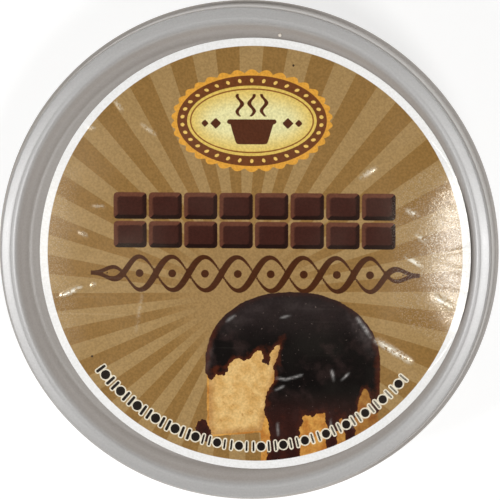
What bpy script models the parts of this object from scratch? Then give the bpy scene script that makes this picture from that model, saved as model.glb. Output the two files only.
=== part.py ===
"""A shut round pudding tub: tapered tub, push-on lid and a round printed label stuck on the lid.

Metres, +Z up. The origin is the middle of the flat base, on the surface that the tub stands on.
Each round piece is an outline in the XZ plane spun round Z. Outlines are given as corners
(radius, height) or, for a rounded corner, (radius, height, rounding). Heights on the lid count
from its skin line's zero, just below the top of its bead.
"""
import math

import bmesh
import bpy
from mathutils import Matrix, Vector

MM = 0.001

# Driving dimensions of the lid
PACK_HEIGHT = 70.0 * MM
LID_RADIUS = 60.5 * MM
LID_DEPTH = 9.4 * MM
LID_WALL = 0.8 * MM
RECESS = 3.0 * MM  # how far the flat panel lies below the bead
PANEL_RADIUS = 51.6 * MM
INNER_CREST = 55.05 * MM  # the bead has two crests with a shallow groove between them
OUTER_CREST = 57.25 * MM
GROOVE = 0.3 * MM
LEDGE_RADIUS = 58.9 * MM
LEDGE_WIDTH = 0.75 * MM
LEDGE_DROP = 1.4 * MM
LIP_WIDTH = 0.85 * MM
LIP_THICKNESS = 0.8 * MM
FACE_DRAFT = 0.12 * MM  # how much the ledge and the lip fall towards their outer edges
SNAP_BEAD = 1.2 * MM  # how far the snap bead stands in from the skirt, under the tub's rim
SNAP_SPAN = (1.8 * MM, 3.1 * MM, 4.0 * MM)  # its foot, crest and top above the skirt's foot

# Driving dimensions of the tub
BASE_RADIUS = 43.1 * MM
BASE_ROUNDING = 7.0 * MM
NECK_RADIUS = 55.2 * MM  # the tub's wall just under its rim
RIM_DEPTH = 4.0 * MM
RIM_FLARE = 0.3 * MM
STACKING_DROP = 9.0 * MM  # from the rim's underside to the shoulder that nested tubs sit on
STACKING_STEP = 0.9 * MM

# Driving dimensions of the label
LABEL_RADIUS = 51.9 * MM
LABEL_OFFSET = Vector((2.2 * MM, -0.1 * MM))
LABEL_THICKNESS = 0.25 * MM
TENT_START = 38.0 * MM  # where the label leaves the panel to climb the shoulder
TENT_HALF_ANGLE = math.radians(50)

GAP = 0.3 * MM  # kept between pieces that touch
SEGMENTS = 72
ARC_ERROR = 0.04 * MM  # how far a rounding's chords may stand off its true arc

LIP_HEIGHT = LIP_THICKNESS - LID_DEPTH  # the lip's upper face
SHOULDER_SLOPE = RECESS / (INNER_CREST - PANEL_RADIUS)


def rounded(corners):
    """The open outline through the corners, with an arc at each one that names a rounding."""
    points = [Vector(corners[0][:2])]
    for before, corner, after in zip(corners, corners[1:], corners[2:]):
        here = Vector(corner[:2])
        if len(corner) == 2:
            points.append(here)
            continue
        radius = corner[2]
        back = (Vector(before[:2]) - here).normalized()
        ahead = (Vector(after[:2]) - here).normalized()
        half = back.angle(ahead) / 2
        turn = math.pi - 2 * half
        centre = here + (back + ahead).normalized() * radius / math.sin(half)
        start = here + back * radius / math.tan(half) - centre
        side = math.copysign(1, back.cross(ahead))
        steps = math.ceil(turn / (2 * math.acos(1 - ARC_ERROR / radius)))
        for step in range(steps + 1):
            points.append(centre + Matrix.Rotation(-side * turn * step / steps, 2) @ start)
    points.append(Vector(corners[-1][:2]))
    return points


def parallel(line, distance):
    """The open line moved to its left by distance, with mitred corners and square ends."""
    points = [Vector(p) for p in line]
    lefts = [Vector((a.y - b.y, b.x - a.x)).normalized() for a, b in zip(points, points[1:])]
    moved = [points[0] + lefts[0] * distance]
    for point, left, right in zip(points[1:], lefts, lefts[1:]):
        moved.append(point + (left + right) * distance / (1 + left.dot(right)))
    moved.append(points[-1] + lefts[-1] * distance)
    return moved


# The lid's skin: the plain line that its wall, the tub's rim and the label all keep parallel to.
# It runs from the axis over the panel, up the shoulder, across the bead and down the skirt.
SKIN_TOP = -GROOVE / 2
SKIN = [
    (0.0, -RECESS),
    (PANEL_RADIUS, -RECESS),
    (PANEL_RADIUS + (RECESS + SKIN_TOP) / SHOULDER_SLOPE, SKIN_TOP),
    (LEDGE_RADIUS - LEDGE_WIDTH / 2, SKIN_TOP),
    (LID_RADIUS - LIP_WIDTH, -LID_DEPTH),
]


def plastic(name, colour, roughness):
    """A plain Principled material."""
    material = bpy.data.materials.new(name)
    material.use_nodes = True
    shader = material.node_tree.nodes["Principled BSDF"]
    shader.inputs["Base Color"].default_value = (*colour, 1)
    shader.inputs["Roughness"].default_value = roughness
    shader.inputs["Metallic"].default_value = 0
    return material


def add_piece(name, bm, material):
    """The finished mesh as a smooth-shaded object."""
    mesh = bpy.data.meshes.new(name)
    bm.to_mesh(mesh)
    bm.free()
    mesh.shade_smooth()
    mesh.set_sharp_from_angle(angle=math.radians(50))
    mesh.materials.append(material)
    piece = bpy.data.objects.new(name, mesh)
    bpy.context.scene.collection.objects.link(piece)
    return piece


def spun(line):
    """A mesh made by turning a line of (radius, height) points once round Z."""
    bm = bmesh.new()
    verts = [bm.verts.new((p[0], 0, p[1])) for p in line]
    edges = [bm.edges.new(pair) for pair in zip(verts, verts[1:])]
    bmesh.ops.spin(
        bm,
        geom=verts + edges,
        cent=(0, 0, 0),
        axis=(0, 0, 1),
        angle=math.tau,
        steps=SEGMENTS,
        use_merge=True,
    )
    bmesh.ops.remove_doubles(bm, verts=bm.verts, dist=0.001 * MM)
    bmesh.ops.recalc_face_normals(bm, faces=bm.faces)
    return bm


def make_lid():
    """The push-on lid: recessed panel, shoulder, two-crested bead, skirt, lip and inner snap bead."""
    inner_peak, outer_peak = 0.12 * MM, 0.18 * MM  # above the crests, which rounding lowers
    upper = [
        (0.0, -RECESS),
        (PANEL_RADIUS, -RECESS, 1.2 * MM),
        (INNER_CREST + inner_peak / SHOULDER_SLOPE, inner_peak, 0.7 * MM),
        ((INNER_CREST + OUTER_CREST) / 2, -GROOVE, 0.8 * MM),
        (OUTER_CREST, outer_peak, 0.8 * MM),
        (LEDGE_RADIUS - LEDGE_WIDTH, FACE_DRAFT - LEDGE_DROP, 0.35 * MM),
        (LEDGE_RADIUS, -LEDGE_DROP, 0.3 * MM),
        (LID_RADIUS - LIP_WIDTH, LIP_HEIGHT + FACE_DRAFT, 0.3 * MM),
        (LID_RADIUS, LIP_HEIGHT, 0.2 * MM),
        (LID_RADIUS, -LID_DEPTH, 0.2 * MM),
    ]
    wall = parallel(SKIN, -LID_WALL)
    panel_foot, channel_in, channel_out, skirt_foot = wall[1:]
    fall = (skirt_foot - channel_out).normalized()
    snap = [skirt_foot - fall * height for height in SNAP_SPAN]
    snap[1].x -= SNAP_BEAD
    under = [
        skirt_foot,
        snap[0],
        (*snap[1], 0.4 * MM),
        snap[2],
        channel_out,
        channel_in,
        panel_foot,
        wall[0],
    ]
    outline = rounded(upper + under)
    top = max(point.y for point in outline)
    material = plastic("lid_plastic", (0.36, 0.34, 0.32), 0.35)
    lid = add_piece("lid", spun(outline), material)
    lid.location.z = PACK_HEIGHT - top
    return lid


def make_tub(lid):
    """The filled tub: a solid whose top fits the lid's underside, with its rim in the lid's channel."""
    lift = lid.location.z
    fill, foot, rim_in, rim_out, _ = parallel(SKIN, -LID_WALL - GAP)
    rim_bottom = rim_out.y - RIM_DEPTH
    rim_edge = rim_out.x + RIM_FLARE
    taper = (NECK_RADIUS - STACKING_STEP - BASE_RADIUS) / (lift + rim_bottom)
    stack = lift + rim_bottom - STACKING_DROP
    stack_radius = NECK_RADIUS - taper * STACKING_DROP
    outline = rounded(
        [
            (0.0, lift + fill.y),
            (foot.x, lift + foot.y),
            (rim_in.x, lift + rim_in.y, 0.5 * MM),
            (rim_out.x, lift + rim_out.y, 0.6 * MM),
            (rim_edge, lift + rim_bottom, 0.4 * MM),
            (NECK_RADIUS, lift + rim_bottom, 0.4 * MM),
            (stack_radius, stack, 0.6 * MM),
            (stack_radius - STACKING_STEP * (1 + taper), stack - STACKING_STEP, 0.6 * MM),
            (BASE_RADIUS, 0.0, BASE_ROUNDING),
            (0.0, 0.0),
        ]
    )
    return add_piece("tub", spun(outline), plastic("tub_plastic", (0.40, 0.38, 0.36), 0.4))


def label_height(x, y):
    """The height of the label's underside at a place on the lid: flat, up the shoulder or tented."""
    flat, foot, top = parallel(SKIN, GAP)[:3]
    radius, angle = math.hypot(x, y), math.atan2(y, x)
    rest = flat.y + max(0.0, radius - foot.x) * SHOULDER_SLOPE
    reach = LABEL_RADIUS + LABEL_OFFSET.length
    climb = max(0.0, reach - foot.x) * SHOULDER_SLOPE
    ramp = max(0.0, radius - TENT_START) / (reach - TENT_START)
    side = max(0.0, math.cos(min(abs(angle) / TENT_HALF_ANGLE, 1.0) * math.pi / 2))
    return min(max(rest, flat.y + climb * ramp**2 * side), top.y)


def make_label(lid):
    """The paper label, set off-centre so that its edge climbs the lid's shoulder on one side."""
    inner_rings = [0.0, 0.35 * LABEL_RADIUS, 0.6 * LABEL_RADIUS]
    outer_start, outer_steps = TENT_START, 8
    ring_width = (LABEL_RADIUS - outer_start) / outer_steps
    outer_rings = [outer_start + ring_width * step for step in range(outer_steps + 1)]
    bm = spun([(radius, 0.0) for radius in inner_rings + outer_rings])
    for vert in bm.verts:
        vert.co.z = label_height(vert.co.x + LABEL_OFFSET.x, vert.co.y + LABEL_OFFSET.y)
    for face in bm.faces:
        if face.normal.z < 0:
            face.normal_flip()
    label = add_piece("label", bm, plastic("label_paper", (0.33, 0.21, 0.10), 0.5))
    label.location = (LABEL_OFFSET.x, LABEL_OFFSET.y, 0)
    label.parent = lid
    sheet = label.modifiers.new("sheet", "SOLIDIFY")
    sheet.thickness = LABEL_THICKNESS
    sheet.offset = 1
    return label


for thing in list(bpy.data.objects):
    bpy.data.objects.remove(thing)

pack = bpy.data.objects.new("pudding_pack", None)
bpy.context.scene.collection.objects.link(pack)
lid = make_lid()
tub = make_tub(lid)
make_label(lid)
lid.parent = pack
tub.parent = pack
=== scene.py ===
import math

import bpy
import numpy as np
from mathutils import Matrix, Vector


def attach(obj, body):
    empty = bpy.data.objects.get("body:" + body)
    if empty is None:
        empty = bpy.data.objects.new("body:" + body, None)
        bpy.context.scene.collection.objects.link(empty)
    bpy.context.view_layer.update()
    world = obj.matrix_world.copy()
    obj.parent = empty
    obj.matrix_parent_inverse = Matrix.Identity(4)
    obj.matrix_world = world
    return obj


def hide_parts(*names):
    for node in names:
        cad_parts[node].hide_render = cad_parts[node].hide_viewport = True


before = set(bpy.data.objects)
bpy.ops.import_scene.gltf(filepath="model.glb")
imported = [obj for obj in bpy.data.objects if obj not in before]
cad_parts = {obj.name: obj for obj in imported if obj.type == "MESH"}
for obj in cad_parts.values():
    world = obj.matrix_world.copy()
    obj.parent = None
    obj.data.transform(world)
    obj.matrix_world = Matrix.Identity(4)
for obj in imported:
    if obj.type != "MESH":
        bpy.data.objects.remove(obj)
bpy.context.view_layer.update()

# ------------------------------------------------------------------------------ the tub
# A tapered tub of milky grey polypropylene, injection-moulded in one shot: a thin wall, a rim
# that the lid clips over, a shoulder for stacking and a flat foot. It is filled and shut.
MM = 0.001
PACK_HEIGHT = 70.0 * MM
BASE_RADIUS = 43.1 * MM
BASE_ROUNDING = 7.0 * MM
NECK_RADIUS = 55.2 * MM  # of the wall just under the rim
RIM_DEPTH = 4.0 * MM
RIM_FLARE = 0.3 * MM
STACKING_DROP = 9.0 * MM  # from the rim's underside to the shoulder
STACKING_STEP = 0.9 * MM
FOOT_GROOVE_RADIUS = 30.0 * MM
FOOT_GROOVE_DEPTH = 0.5 * MM
SECTORS = 360  # faces round a turned piece
ARC_STEP = math.radians(6)  # the most that a rounding turns from point to point
SPAN = 1.8 * MM  # the longest straight stretch of an outline

# The lid's skin is the plain line that the lid's wall and the tub's rim keep parallel to. Its
# heights count from the top of the pack, so they are below nought.
LID_RADIUS = 60.5 * MM
LID_DEPTH = 9.4 * MM
LID_WALL = 0.8 * MM
RECESS = 3.0 * MM  # how far the flat panel lies below the bead
PANEL_RADIUS = 52.5 * MM
INNER_CREST = 55.05 * MM
LEDGE_RADIUS = 58.9 * MM
LEDGE_WIDTH = 0.75 * MM
LIP_WIDTH = 0.85 * MM
SHOULDER_SLOPE = RECESS / (INNER_CREST - PANEL_RADIUS)
SKIN_TOP = -0.15 * MM  # its level over the tub's rim
SKIN = [
    (0.0, -RECESS),
    (PANEL_RADIUS, -RECESS),
    (PANEL_RADIUS + (RECESS + SKIN_TOP) / SHOULDER_SLOPE, SKIN_TOP),
    (LEDGE_RADIUS - LEDGE_WIDTH / 2, SKIN_TOP),
    (LID_RADIUS - LIP_WIDTH, -LID_DEPTH),
]
CLEARANCE = 0.3 * MM  # between the lid and the tub


def unit(vector):
    """The vector over its own length."""
    return vector / np.linalg.norm(vector)


def rounded(corners):
    """The open outline through corners (radius, height) or (radius, height, rounding). A rounding
    is an arc that touches both sides: its centre lies on the corner's bisector, at the rounding
    over the sine of half the corner's angle."""
    points = [np.array(corners[0][:2])[None]]
    for before, corner, after in zip(corners, corners[1:], corners[2:]):
        here = np.array(corner[:2])
        if len(corner) == 2:
            points.append(here[None])
            continue
        back, ahead = unit(np.array(before[:2]) - here), unit(np.array(after[:2]) - here)
        half = math.acos(back @ ahead) / 2
        turn = math.pi - 2 * half
        centre = here + unit(back + ahead) * corner[2] / math.sin(half)
        start = here + back * corner[2] / math.tan(half) - centre
        sweep = math.copysign(turn, ahead[0] * back[1] - ahead[1] * back[0])
        angle = np.linspace(0, sweep, math.ceil(turn / ARC_STEP) + 1)
        beside = np.array([-start[1], start[0]])
        points.append(centre + np.outer(np.cos(angle), start) + np.outer(np.sin(angle), beside))
    points.append(np.array(corners[-1][:2])[None])
    return np.vstack(points)


def parallel(line, distance):
    """The open line moved to its left by distance: each inner corner goes along the sum of its two
    sides' normals, over one plus their dot product."""
    points = np.array(line)
    along = np.diff(points, axis=0)
    left = np.column_stack([-along[:, 1], along[:, 0]]) / np.linalg.norm(along, axis=1)[:, None]
    inner = (left[:-1] + left[1:]) / (1 + (left[:-1] * left[1:]).sum(1))[:, None]
    return points + distance * np.vstack([left[:1], inner, left[-1:]])


def spaced(outline):
    """The outline with each side divided evenly into pieces no longer than the span."""
    counts = np.ceil(np.linalg.norm(np.diff(outline, axis=0), axis=1) / SPAN).astype(int)
    steps = [side + np.arange(count) / count for side, count in enumerate(counts)]
    at = np.append(np.concatenate(steps), len(counts))
    corners = np.arange(len(outline))
    return np.column_stack([np.interp(at, corners, outline[:, axis]) for axis in (0, 1)])


def turned(outline, sectors=SECTORS):
    """Points and faces of a surface of revolution: (r cos a, r sin a, z) for each outline point
    (r, z) and each sector's angle a, with one point on the axis at either end."""
    angle = np.arange(sectors) * math.tau / sectors
    radius, height = outline[1:-1, :1], outline[1:-1, 1:]
    level = np.broadcast_to(height, (len(height), sectors))
    rings = np.stack([radius * np.cos(angle), radius * np.sin(angle), level], axis=-1)
    poles = [[0, 0, outline[0, 1]], [0, 0, outline[-1, 1]]]
    points = np.vstack([rings.reshape(-1, 3), poles])
    row, column = np.arange(len(height) - 1)[:, None] * sectors, np.arange(sectors)
    beside = (column + 1) % sectors
    sides = [row + column, row + sectors + column, row + sectors + beside, row + beside]
    quads = np.stack(sides, axis=-1).reshape(-1, 4)
    last = (len(height) - 1) * sectors
    cap = np.stack([np.full(sectors, len(points) - 2), column, beside], axis=-1)
    foot = np.stack([np.full(sectors, len(points) - 1), last + beside, last + column], axis=-1)
    return points, [*quads.tolist(), *cap.tolist(), *foot.tolist()]


def add_piece(name, points, faces, material):
    """A smooth-shaded object with this mesh, linked to the scene."""
    mesh = bpy.data.meshes.new(name)
    mesh.from_pydata(points, [], faces)
    mesh.shade_smooth()
    mesh.materials.append(material)
    piece = bpy.data.objects.new(name, mesh)
    bpy.context.scene.collection.objects.link(piece)
    return piece


def ink(red, green, blue):
    """A colour given as it looks, in steps of 255, as the linear colour that shaders take: the
    sRGB curve undone."""
    share = np.array([red, green, blue]) / 255
    linear = np.where(share <= 0.04045, share / 12.92, ((share + 0.055) / 1.055) ** 2.4)
    return (*linear.tolist(), 1.0)


def node(tree, kind, inputs=None, **settings):
    """A new node with its settings, and each input set to a value or linked from a socket."""
    made = tree.nodes.new(kind)
    for name, value in settings.items():
        setattr(made, name, value)
    for name, value in (inputs or {}).items():
        if isinstance(value, bpy.types.NodeSocket):
            tree.links.new(value, made.inputs[name])
        else:
            made.inputs[name].default_value = value
    return made


def maths(tree, operation, first, second=0.0):
    """The result of a Math node on two values or sockets."""
    made = node(tree, "ShaderNodeMath", {0: first, 1: second}, operation=operation)
    return made.outputs[0]


def ramp(tree, value, low, high, start=0.0, end=1.0):
    """The smooth way from start to end as the value goes from low to high."""
    ends = {"From Min": low, "From Max": high, "To Min": start, "To Max": end}
    settings = {"Value": value, **ends}
    made = node(tree, "ShaderNodeMapRange", settings, interpolation_type="SMOOTHSTEP")
    return made.outputs[0]


def blend(tree, factor, below, above, how="MIX"):
    """Two colours mixed by a factor."""
    colours = {0: factor, 6: below, 7: above}
    made = node(tree, "ShaderNodeMix", colours, data_type="RGBA", blend_type=how)
    return made.outputs[2]


def noise(tree, place, scale, detail=2.0):
    """Noise with this many waves to the metre."""
    settings = {"Vector": place, "Scale": scale, "Detail": detail}
    return node(tree, "ShaderNodeTexNoise", settings).outputs[0]


def effect_group(name, given, result):
    """An empty shader group that takes a place and named numbers, and gives one number."""
    tree = bpy.data.node_groups.new(name, "ShaderNodeTree")
    tree.interface.new_socket("Place", in_out="INPUT", socket_type="NodeSocketVector")
    for label, default in given.items():
        socket = tree.interface.new_socket(label, in_out="INPUT", socket_type="NodeSocketFloat")
        socket.default_value = default
    tree.interface.new_socket(result, in_out="OUTPUT", socket_type="NodeSocketFloat")
    return tree, tree.nodes.new("NodeGroupInput").outputs, tree.nodes.new("NodeGroupOutput").inputs


def build_grain():
    """Fine noise plus noise three times as coarse, as a height in metres."""
    tree, given, result = effect_group("fine_grain", {"Scale": 2000.0, "Depth": 0.00001}, "Height")
    coarse = noise(tree, given["Place"], maths(tree, "DIVIDE", given["Scale"], 3.0), 1.0)
    both = maths(tree, "ADD", noise(tree, given["Place"], given["Scale"]), coarse)
    tree.links.new(maths(tree, "MULTIPLY", both, given["Depth"]), result["Height"])
    return tree


SCUFF_TURNS = (0.35, 1.45, 2.6)
SCUFF_SCALE = (25.0, 2000.0, 400.0)  # waves to the metre along, across and through a scratch


def build_scuffs():
    """Short fine scratches in three directions: noise stretched eighty times along each one and
    cut off near its peaks, shown where a broad noise is high."""
    tree, given, result = effect_group("scuffs", {"Amount": 1.0}, "Mask")
    total = 0.0
    for number, turn in enumerate(SCUFF_TURNS):
        settings = {"Vector": given["Place"], "Location": (0.7 * number, 1.3 * number, 0.0)}
        settings |= {"Rotation": (0.0, 0.0, turn), "Scale": SCUFF_SCALE}
        streaks = noise(tree, node(tree, "ShaderNodeMapping", settings).outputs[0], 1.0, 1.0)
        total = maths(tree, "MAXIMUM", ramp(tree, streaks, 0.68, 0.76), total)
    shown = ramp(tree, noise(tree, given["Place"], 45.0, 1.0), 0.45, 0.65)
    shown = maths(tree, "MULTIPLY", shown, given["Amount"])
    tree.links.new(maths(tree, "MULTIPLY", total, shown), result["Mask"])
    return tree


def build_specks():
    """Rare round specks: the middles of those few Voronoi cells whose random value is high."""
    tree, given, result = effect_group("specks", {"Scale": 110.0, "Size": 0.02}, "Mask")
    settings = {"Vector": given["Place"], "Scale": given["Scale"]}
    cells = node(tree, "ShaderNodeTexVoronoi", settings).outputs
    near = maths(tree, "LESS_THAN", cells["Distance"], given["Size"])
    pick = node(tree, "ShaderNodeSeparateColor", {"Color": cells["Color"]}).outputs[0]
    rare = maths(tree, "GREATER_THAN", pick, 0.8)
    tree.links.new(maths(tree, "MULTIPLY", near, rare), result["Mask"])
    return tree


FINE_GRAIN, SCUFFS, SPECKS = build_grain(), build_scuffs(), build_specks()


def effect(tree, group, place, **given):
    """The number that an effect group gives here with its own values."""
    return node(tree, "ShaderNodeGroup", {"Place": place, **given}, node_tree=group).outputs[0]


def new_material(name):
    """An empty node material's block, tree and shader, and the place on the object."""
    material = bpy.data.materials.new(name)
    material.use_nodes = True
    tree = material.node_tree
    place = node(tree, "ShaderNodeTexCoord").outputs["Object"]
    return material, tree, tree.nodes["Principled BSDF"], place


MATT_EDGE = 50.7 * MM  # the matt middle's edge, from the axis,
MATT_FADE = 2.0 * MM  # and the width that it fades out over
MATT_ADDED = 0.17
GLOSS = (0.285, 0.32)  # the roughness of the rest drifts between these
BLOTCH_GREY = ink(120, 112, 104)
SPECK_BROWN = ink(90, 75, 62)
MOTTLE_DARK = (0.93, 0.93, 0.93, 1.0)
MOTTLE_LIGHT = (1.07, 1.07, 1.07, 1.0)


def milky_plastic(name, stops, blotch):
    """Milky polypropylene, more matt in the middle. Its grey runs through stops (distance from the
    axis, colour), with broad soft blotches, a few specks and a fine mottle that runs partly in
    rings. Fine scratches dull its gloss."""
    material, tree, shader, place = new_material(name)
    flat = node(tree, "ShaderNodeVectorMath", {0: place, 1: (1.0, 1.0, 0.0)}, operation="MULTIPLY")
    length = node(tree, "ShaderNodeVectorMath", {0: flat.outputs[0]}, operation="LENGTH")
    share = maths(tree, "DIVIDE", length.outputs["Value"], LID_RADIUS)
    tones = node(tree, "ShaderNodeValToRGB", {"Fac": share})
    elements = tones.color_ramp.elements
    elements[0].position, elements[0].color = stops[0][0] / LID_RADIUS, stops[0][1]
    elements[1].position, elements[1].color = stops[-1][0] / LID_RADIUS, stops[-1][1]
    for radius, colour in stops[1:-1]:
        elements.new(radius / LID_RADIUS).color = colour
    broad = noise(tree, place, 32.0, 3.0)
    cloud = ramp(tree, broad, 0.35, 0.7, 0.0, blotch)
    colour = blend(tree, cloud, tones.outputs[0], BLOTCH_GREY)
    scuffs = effect(tree, SCUFFS, place)
    specks = maths(tree, "MULTIPLY", effect(tree, SPECKS, place), 0.55)
    colour = blend(tree, specks, colour, SPECK_BROWN)
    ring = node(tree, "ShaderNodeCombineXYZ", {0: length.outputs["Value"]}).outputs[0]
    rings = maths(tree, "MULTIPLY", noise(tree, ring, 1300.0), 0.7)
    mottle = maths(tree, "ADD", noise(tree, place, 2100.0, 3.0), rings)
    mottle = ramp(tree, mottle, 0.5, 1.2)
    mottle = blend(tree, mottle, MOTTLE_DARK, MOTTLE_LIGHT)
    colour = blend(tree, 1.0, colour, mottle, "MULTIPLY")
    tree.links.new(colour, shader.inputs["Base Color"])
    matt_end = MATT_EDGE + MATT_FADE
    matt = ramp(tree, length.outputs["Value"], MATT_EDGE, matt_end, MATT_ADDED, 0.0)
    matt = maths(tree, "ADD", matt, maths(tree, "MULTIPLY", scuffs, 0.05))
    rough = maths(tree, "ADD", ramp(tree, broad, 0.3, 0.7, *GLOSS), matt)
    tree.links.new(rough, shader.inputs["Roughness"])
    grain = effect(tree, FINE_GRAIN, place, Scale=1500.0, Depth=0.000004)
    bump = node(tree, "ShaderNodeBump", {"Height": grain, "Distance": 1.0, "Strength": 1.0})
    tree.links.new(bump.outputs[0], shader.inputs["Normal"])
    shader.inputs["IOR"].default_value = 1.49
    shader.inputs["Specular IOR Level"].default_value = 0.8
    shader.inputs["Subsurface Weight"].default_value = 0.2
    shader.inputs["Subsurface Radius"].default_value = (1.0, 0.95, 0.9)
    shader.inputs["Subsurface Scale"].default_value = 1.0 * MM
    return material


fill, fill_edge, rim_in, rim_out = parallel(SKIN, -LID_WALL - CLEARANCE)[:4]
rim_bottom = rim_out[1] - RIM_DEPTH
taper = (NECK_RADIUS - STACKING_STEP - BASE_RADIUS) / (PACK_HEIGHT + rim_bottom)
stack = rim_bottom - STACKING_DROP
stack_radius = NECK_RADIUS - taper * STACKING_DROP
# The corners go from the middle of the top over the rim and down the wall to the base's middle.
tub_outline = rounded(
    [
        (0.0, fill[1]),
        (*fill_edge, 0.5 * MM),
        (*rim_in, 0.5 * MM),
        (*rim_out, 0.6 * MM),
        (rim_out[0] + RIM_FLARE, rim_bottom, 0.4 * MM),
        (NECK_RADIUS, rim_bottom, 0.4 * MM),
        (stack_radius, stack, 0.6 * MM),
        (stack_radius - STACKING_STEP * (1 + taper), stack - STACKING_STEP, 0.6 * MM),
        (BASE_RADIUS, -PACK_HEIGHT, BASE_ROUNDING),
        (FOOT_GROOVE_RADIUS + 3 * FOOT_GROOVE_DEPTH, -PACK_HEIGHT, 0.6 * MM),
        (FOOT_GROOVE_RADIUS, FOOT_GROOVE_DEPTH - PACK_HEIGHT, 0.6 * MM),
        (FOOT_GROOVE_RADIUS - 3 * FOOT_GROOVE_DEPTH, -PACK_HEIGHT, 0.6 * MM),
        (0.0, -PACK_HEIGHT),
    ]
)
tub_outline[:, 1] += PACK_HEIGHT
TUB_GREY = ink(176, 170, 163)
TUB_BLOTCH = 0.16
tub_plastic = milky_plastic("tub_plastic", [(0.0, TUB_GREY), (LID_RADIUS, TUB_GREY)], TUB_BLOTCH)
tub = add_piece("tub_body", *turned(spaced(tub_outline)), tub_plastic)
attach(tub, "root")
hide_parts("tub")

# ------------------------------------------------------------------------------ the lid
# A thin push-on lid of the same milky plastic: a flat recessed panel, a sloping shoulder, a bead
# with two low crests over the tub's rim, a narrow ledge, and a skirt with a lip to lift it by.
CREST_GROOVE = 56.3 * MM  # the faint groove between the crests
OUTER_CREST = 57.25 * MM
BEAD_EDGE = 58.37 * MM
LEDGE_INNER = 58.5 * MM
LEDGE_DROP = 1.4 * MM
BEAD_CROWN = (  # the bead's top from inside to outside: radius, height and rounding
    (INNER_CREST - 0.35 * MM, -0.384 * MM, 1.3 * MM),
    (INNER_CREST + 0.35 * MM, -0.154 * MM, 1.5 * MM),
    (CREST_GROOVE - 0.1 * MM, -0.02 * MM, 1.5 * MM),
    (OUTER_CREST - 0.3 * MM, -0.037 * MM, 14.0 * MM),
    (OUTER_CREST + 0.55 * MM, -0.077 * MM, 14.0 * MM),
    (BEAD_EDGE, -0.128 * MM, 0.3 * MM),
)
LIP_HEIGHT = 0.8 * MM - LID_DEPTH  # of the lip's upper face
FACE_DRAFT = 0.12 * MM  # how much the ledge and the lip fall towards their outer edges
SNAP_BEAD = 1.2 * MM  # how far the inner bead stands in from the skirt, under the tub's rim
SNAP_SPAN = (1.8 * MM, 3.1 * MM, 4.0 * MM)  # its foot, crest and top above the skirt's foot
SAG = 0.03 * MM  # the most that the lid's edge dips below true
SAG_WAVES = ((2, 0.7), (3, 2.9), (5, 4.4))  # how many waves round the lid, and their turn
LID_BLOTCH = 0.1
PANEL_GREY = ink(141, 134, 127)
SHOULDER_GREY = ink(158, 151, 145)
BEAD_GREY = ink(164, 162, 160)
CREST_GREY = ink(170, 168, 166)
SKIRT_GREY = ink(176, 170, 164)

lid_wall = parallel(SKIN, -LID_WALL)
panel_foot, channel_in, channel_out, skirt_foot = lid_wall[1:]
skirt_fall = unit(skirt_foot - channel_out)
snap = [skirt_foot - skirt_fall * height for height in SNAP_SPAN]
snap[1][0] -= SNAP_BEAD
# The corners go from the panel's middle up over the bead, down the skirt and back underneath.
lid_outline = rounded(
    [
        (0.0, -RECESS),
        (PANEL_RADIUS, -RECESS, 4.0 * MM),
        *BEAD_CROWN,
        (LEDGE_INNER, FACE_DRAFT - LEDGE_DROP, 0.2 * MM),
        (LEDGE_RADIUS, -LEDGE_DROP, 0.2 * MM),
        (LID_RADIUS - LIP_WIDTH, LIP_HEIGHT + FACE_DRAFT, 0.3 * MM),
        (LID_RADIUS, LIP_HEIGHT, 0.2 * MM),
        (LID_RADIUS, -LID_DEPTH, 0.2 * MM),
        (*skirt_foot, 0.15 * MM),
        (*snap[0], 0.3 * MM),
        (*snap[1], 0.4 * MM),
        (*snap[2], 0.3 * MM),
        (*channel_out, 0.3 * MM),
        (*channel_in, 0.3 * MM),
        (*panel_foot, 0.4 * MM),
        lid_wall[0],
    ]
)
lid_outline[:, 1] += PACK_HEIGHT - lid_outline[:, 1].max()
lid_top = lid_outline[: lid_outline[:, 0].argmax()]  # its upper side, from the axis to the lip
lid_points, lid_faces = turned(spaced(lid_outline))
# The dip is a sum of sine waves round the lid, brought to between nought and one, and grows
# with the radius squared.
lid_angle = np.arctan2(lid_points[:, 1], lid_points[:, 0])
waves = sum(np.sin(count * lid_angle + shift) for count, shift in SAG_WAVES)
reach = np.hypot(lid_points[:, 0], lid_points[:, 1]) / LID_RADIUS
lid_points[:, 2] -= SAG * (0.5 + waves / (2 * len(SAG_WAVES))) * reach**2
lid_plastic = milky_plastic(
    "lid_plastic",
    [
        (0.0, PANEL_GREY),
        (PANEL_RADIUS - 1.2 * MM, PANEL_GREY),
        (PANEL_RADIUS + 1.0 * MM, SHOULDER_GREY),
        (INNER_CREST - 0.9 * MM, SHOULDER_GREY),
        (INNER_CREST + 0.3 * MM, BEAD_GREY),
        (CREST_GROOVE, BEAD_GREY),
        (OUTER_CREST - 0.4 * MM, CREST_GREY),
        (BEAD_EDGE, CREST_GREY),
        (LEDGE_RADIUS, SKIRT_GREY),
        (LID_RADIUS, SKIRT_GREY),
    ],
    LID_BLOTCH,
)
lid = add_piece("lid_shell", lid_points, lid_faces, lid_plastic)
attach(lid, "root")
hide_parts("lid")

# A moulding pip: the little stub of the injection gate, on the shoulder's +Y side, made pale as
# painted highlight for the glint it catches.
PIP_RADIUS = 0.42 * MM
PIP_HEIGHT = 0.5 * MM  # above the lid, and as far down into it
PIP_ROUNDING = 0.3 * MM
PIP_SECTORS = 24
PIP_AWAY = 52.8 * MM  # from the axis
PIP_TURN = math.radians(80.7)  # from +X
PIP_HIGHLIGHT = ink(226, 216, 202)

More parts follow.
